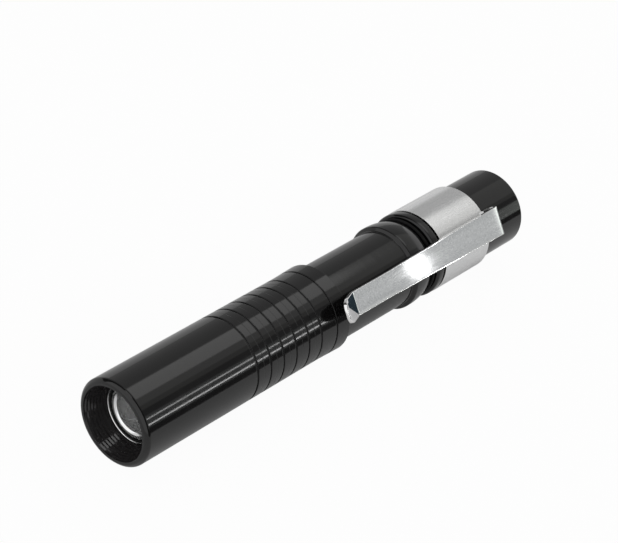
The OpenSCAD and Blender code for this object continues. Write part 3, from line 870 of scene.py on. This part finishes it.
def makeBand():
    p = clipPlan
    outer = p["bandInner"] + p["sheet"]
    profile = [
        (p["bandInner"], p["bandRear"]), (outer, p["bandRear"]), (outer, p["bandFront"]),
        (p["bandInner"], p["bandFront"]), (p["bandInner"], p["bandRear"]),
    ]
    band = drawWire("clipBand", asRing(profile))
    roundCorners(band, profile[1:3], p["edge"])
    spinWire(band, p["steps"])
    bpy.ops.object.mode_set(mode="OBJECT")
    # tongue: a plate on the band's rear edge, its long edges rounded
    clearSelection()
    middle = (p["tongueRear"] + p["tongueFront"]) / 2
    bpy.ops.mesh.primitive_cube_add(
        size=mm, location=(0, -(p["tongueHeight"] + p["sheet"] / 2) * mm, middle * mm)
    )
    tongue = nameIt(bpy.context.object, "clipTongue")
    bpy.ops.object.mode_set(mode="EDIT")
    bpy.ops.mesh.select_all(action="SELECT")
    bpy.ops.transform.resize(value=(p["rearWidth"], p["sheet"], p["tongueFront"] - p["tongueRear"]))
    mesh = bmesh.from_edit_mesh(tongue.data)
    for e in mesh.edges:
        run = e.verts[0].co - e.verts[1].co
        e.select_set(abs(run.z) > abs(run.x) + abs(run.y))
    bmesh.update_edit_mesh(tongue.data)
    bpy.ops.mesh.bevel(offset=p["edge"] * mm, segments=3, affect="EDGES")
    bpy.ops.object.mode_set(mode="OBJECT")
    bpy.ops.object.transform_apply(location=True, rotation=True, scale=True)
    applyModifier(band, "BOOLEAN", operation="UNION", object=tongue, solver="EXACT")
    clearSelection()
    tongue.select_set(True)
    bpy.ops.object.delete()
    smoothOff(band)
    settle(band, "clip_band", "clip_steel", bandSteel, "clip_band")


def sheetPath(p):
    # middle line of the sheet as (z, height), from the fold to the tip
    half = p["sheet"] / 2
    foldMid = p["foldRadius"] + half
    plateLength = p["bendPlace"] - p["foldPlace"]
    tilt = math.asin(p["lean"] / plateLength)
    rows = [
        (foldMid, -(math.pi + tilt), plateLength, p["plateSteps"]),
        (p["tipBend"], tilt + math.radians(p["tipAngle"]), p["tipLength"], p["tipSteps"]),
    ]
    z, h, heading = p["foldPlace"], p["tongueHeight"] + half, math.pi
    path = [(z, h)]
    for bend, turn, run, steps in rows:
        side = heading + math.copysign(math.pi / 2, turn)
        centre = (z + bend * math.cos(side), h + bend * math.sin(side))
        for i in range(1, p["bendSteps"] + 1):
            a = heading + turn * i / p["bendSteps"] - math.copysign(math.pi / 2, turn)
            path.append((centre[0] + bend * math.cos(a), centre[1] + bend * math.sin(a)))
        z, h = path[-1]
        heading += turn
        for i in range(1, steps + 1):
            share = run * i / steps
            path.append((z + share * math.cos(heading), h + share * math.sin(heading)))
        z, h = path[-1]
    return path


def cutSheet(piece, place, away, test):
    # takes off what lies past a plane, on the faces that the test picks
    pickFaces(piece, test)
    bpy.ops.mesh.bisect(
        plane_co=[c * mm for c in place], plane_no=away, clear_outer=True, use_fill=False
    )


def makePlate():
    p = clipPlan
    path = sheetPath(p)
    wide = p["rearWidth"] / 2
    plate = drawWire("clipPlate", [(-wide - p["spare"], -h, z) for z, h in path])
    strip = (2 * wide + 2 * p["spare"]) / p["strips"]
    bpy.ops.mesh.select_all(action="SELECT")
    for i in range(p["strips"]):
        bpy.ops.mesh.extrude_region_move(TRANSFORM_OT_translate={"value": (strip * mm, 0, 0)})
    bpy.ops.mesh.select_all(action="SELECT")
    bpy.ops.mesh.remove_doubles(threshold=mergeWithin)
    # long sides taper to the front bend, the tip keeps the front width
    rear = p["foldPlace"] - p["foldRadius"] - p["sheet"]
    front = p["frontWidth"] / 2
    taper = math.atan2(wide - front, p["bendPlace"] - rear)
    tip = max(z for z, h in path)
    corner = p["tipCorner"]
    for side in (-1, 1):
        away = (side * math.cos(taper), 0, math.sin(taper))
        cutSheet(plate, (side * wide, 0, rear), away, lambda c, n: True)
        for i in range(p["cornerCuts"]):
            a = math.pi / 2 * (i + 0.5) / p["cornerCuts"]
            away = (side * math.cos(a), 0, math.sin(a))
            hold = (side * (front - corner + corner * math.cos(a)), 0, tip - corner + corner * math.sin(a))
            cutSheet(plate, hold, away, lambda c, n: c.z > p["bendPlace"] - 1 and c.y < 0)
    bpy.ops.mesh.select_all(action="SELECT")
    bpy.ops.mesh.normals_make_consistent(inside=False)
    bpy.ops.object.mode_set(mode="OBJECT")
    applyModifier(plate, "SOLIDIFY", thickness=p["sheet"] * mm, offset=0, use_even_offset=True)
    applyModifier(
        plate, "BEVEL", width=p["edge"] * mm, segments=3,
        limit_method="ANGLE", angle_limit=math.radians(p["edgeAngle"]),
    )
    smoothOff(plate)
    settle(plate, "clip_plate", "clip_steel", finishes["clip_steel"], "clip_plate")


makeBand()
makePlate()


# floor that the light lies on, and the lamps and cards round it
stagePlan = {
    "floorSide": -47.0,
    "floorAway": 7.17,
    "floorSize": 4.0,
    "floorWhite": 0.9,
    "glowCamera": 0.96,
    "glowMirror": 0.06,
    "ambient": 0.62,
    "lampAim": 0.045,
    "cardSteps": 16,
}


def makeWorld():
    world = bpy.data.worlds.new("studio")
    bpy.context.scene.world = world
    world.use_nodes = True
    tree = world.node_tree
    tree.nodes.clear()
    rays = tree.nodes.new("ShaderNodeLightPath")
    seen = addMath(tree, "MAXIMUM", rays.outputs["Is Camera Ray"], rays.outputs["Is Glossy Ray"])
    seen = addMath(tree, "MAXIMUM", seen, rays.outputs["Is Transmission Ray"])
    soft = tree.nodes.new("ShaderNodeBackground")
    soft.inputs["Strength"].default_value = stagePlan["ambient"]
    white = tree.nodes.new("ShaderNodeBackground")
    for node in (soft, white):
        node.inputs["Color"].default_value = (1, 1, 1, 1)
    mix = tree.nodes.new("ShaderNodeMixShader")
    tree.links.new(seen, mix.inputs[0])
    tree.links.new(soft.outputs[0], mix.inputs[1])
    tree.links.new(white.outputs[0], mix.inputs[2])
    output = tree.nodes.new("ShaderNodeOutputWorld")
    tree.links.new(mix.outputs[0], output.inputs["Surface"])


def makeFloor():
    p = stagePlan
    turn = math.radians(p["floorSide"])
    away = Vector((math.cos(turn), math.sin(turn), 0))
    clearSelection()
    bpy.ops.mesh.primitive_plane_add(
        size=p["floorSize"], location=away * (-p["floorAway"] * mm),
        rotation=away.to_track_quat("Z", "Y").to_euler(),
    )
    floor = nameIt(bpy.context.object, "paleFloor")
    paper = bpy.data.materials.new("palePaper")
    paper.use_nodes = True
    tree = paper.node_tree
    tree.nodes.clear()
    rays = tree.nodes.new("ShaderNodeLightPath")
    direct = addMath(tree, "MAXIMUM", rays.outputs["Is Camera Ray"], rays.outputs["Is Transmission Ray"])
    direct = addMath(tree, "MULTIPLY", direct, p["glowCamera"])
    mirrored = addMath(tree, "MULTIPLY", rays.outputs["Is Glossy Ray"], p["glowMirror"])
    matt = tree.nodes.new("ShaderNodeBsdfDiffuse")
    matt.inputs["Color"].default_value = (p["floorWhite"],) * 3 + (1,)
    glow = tree.nodes.new("ShaderNodeEmission")
    clear = tree.nodes.new("ShaderNodeBsdfTransparent")
    mix = tree.nodes.new("ShaderNodeMixShader")
    tree.links.new(addMath(tree, "MAXIMUM", direct, mirrored), mix.inputs[0])
    tree.links.new(matt.outputs[0], mix.inputs[1])
    tree.links.new(glow.outputs[0], mix.inputs[2])
    # seen from behind, the paper is not there
    oneSided = tree.nodes.new("ShaderNodeMixShader")
    shape = tree.nodes.new("ShaderNodeNewGeometry")
    tree.links.new(shape.outputs["Backfacing"], oneSided.inputs[0])
    tree.links.new(mix.outputs[0], oneSided.inputs[1])
    tree.links.new(clear.outputs[0], oneSided.inputs[2])
    output = tree.nodes.new("ShaderNodeOutputMaterial")
    tree.links.new(oneSided.outputs[0], output.inputs["Surface"])
    floor.data.materials.append(paper)


def lampAt(name, side, away, along, size, power):
    # side is the angle round the axis, away the distance from it, along the place on it
    turn = math.radians(side)
    place = Vector((away * math.cos(turn), away * math.sin(turn), along))
    aim = Vector((0, 0, stagePlan["lampAim"]))
    clearSelection()
    bpy.ops.object.light_add(
        type="AREA", location=place, rotation=(aim - place).to_track_quat("-Z", "Y").to_euler()
    )
    lamp = nameIt(bpy.context.object, name)
    lamp.data.shape = "RECTANGLE"
    lamp.data.size, lamp.data.size_y = size
    lamp.data.energy = power
    lamp.visible_camera = False


def cardAt(name, sides, away, along, level):
    # plain curved card, seen only in reflections, whose glow is a painted reflection that lights nothing and
    # casts no shadow: an edge spun part of the way round the axis
    turn = math.radians(sides[0])
    foot, head = [
        (out / mm * math.cos(turn), out / mm * math.sin(turn), z / mm) for out, z in zip(away, along)
    ]
    card = drawWire(name, [foot, head])
    bpy.ops.mesh.select_all(action="SELECT")
    bpy.ops.mesh.spin(
        steps=stagePlan["cardSteps"], angle=math.radians(sides[0] - sides[1]),
        center=(0, 0, 0), axis=(0, 0, 1),
    )
    bpy.ops.object.mode_set(mode="OBJECT")
    tone = bpy.data.materials.new(name)
    tone.use_nodes = True
    tone.node_tree.nodes.clear()
    shade = tone.node_tree.nodes.new("ShaderNodeEmission")
    shade.inputs["Color"].default_value = (*level, 1)
    output = tone.node_tree.nodes.new("ShaderNodeOutputMaterial")
    tone.node_tree.links.new(shade.outputs[0], output.inputs["Surface"])
    card.data.materials.append(tone)
    card.visible_camera = False
    card.visible_diffuse = False
    card.visible_shadow = False
    card.visible_transmission = False


makeWorld()
makeFloor()
lampAt("softLamp", -32.0, 0.55, -0.335, (0.336, 0.165), 0.14)
lampAt("lineLampA", -101.2, 0.40, -0.26, (0.016, 0.160), 0.053)
lampAt("lineLampB", -115.4, 0.40, -0.26, (0.018, 0.160), 0.090)
lampAt("clipLamp", -108.7, 0.40, -0.3275, (0.008, 0.007), 0.0005)
lampAt("mouthLamp", -31.0, 0.50, 0.253, (0.20, 0.10), 0.12)
standing = (0.80, 0.80)
# the cards are painted reflections round the light: grey and dark glows, and a bright one behind the tail
cardAt("overheadCard", (-13.0, 54.0), standing, (-1.4, 0.05), (0.41, 0.41, 0.41))
cardAt("fillCard", (-67.0, -13.0), standing, (-1.4, 0.05), (0.64, 0.64, 0.63))
cardAt("fadeCard", (-78.0, -67.0), standing, (-1.4, 0.05), (0.42, 0.42, 0.41))
cardAt("gapCard", (-93.0, -78.0), standing, (-1.4, 0.05), (0.20, 0.20, 0.20))
cardAt("stripCard", (-122.0, -93.0), standing, (-0.80, 0.05), (0.50, 0.51, 0.51))
cardAt("tailCard", (-122.0, -93.0), standing, (-1.4, -0.806), (1.4, 1.5, 1.4))
cardAt("lowCard", (-137.0, -122.0), standing, (-1.4, 0.05), (0.08, 0.08, 0.08))
cardAt("upperCard", (-137.0, 54.0), standing, (0.05, 0.5), (0.06, 0.06, 0.06))
cardAt("endCard", (-172.0, -120.0), (0.03, 0.10), (-0.12, -0.12), (0.025, 0.038, 0.048))
print("stage set")
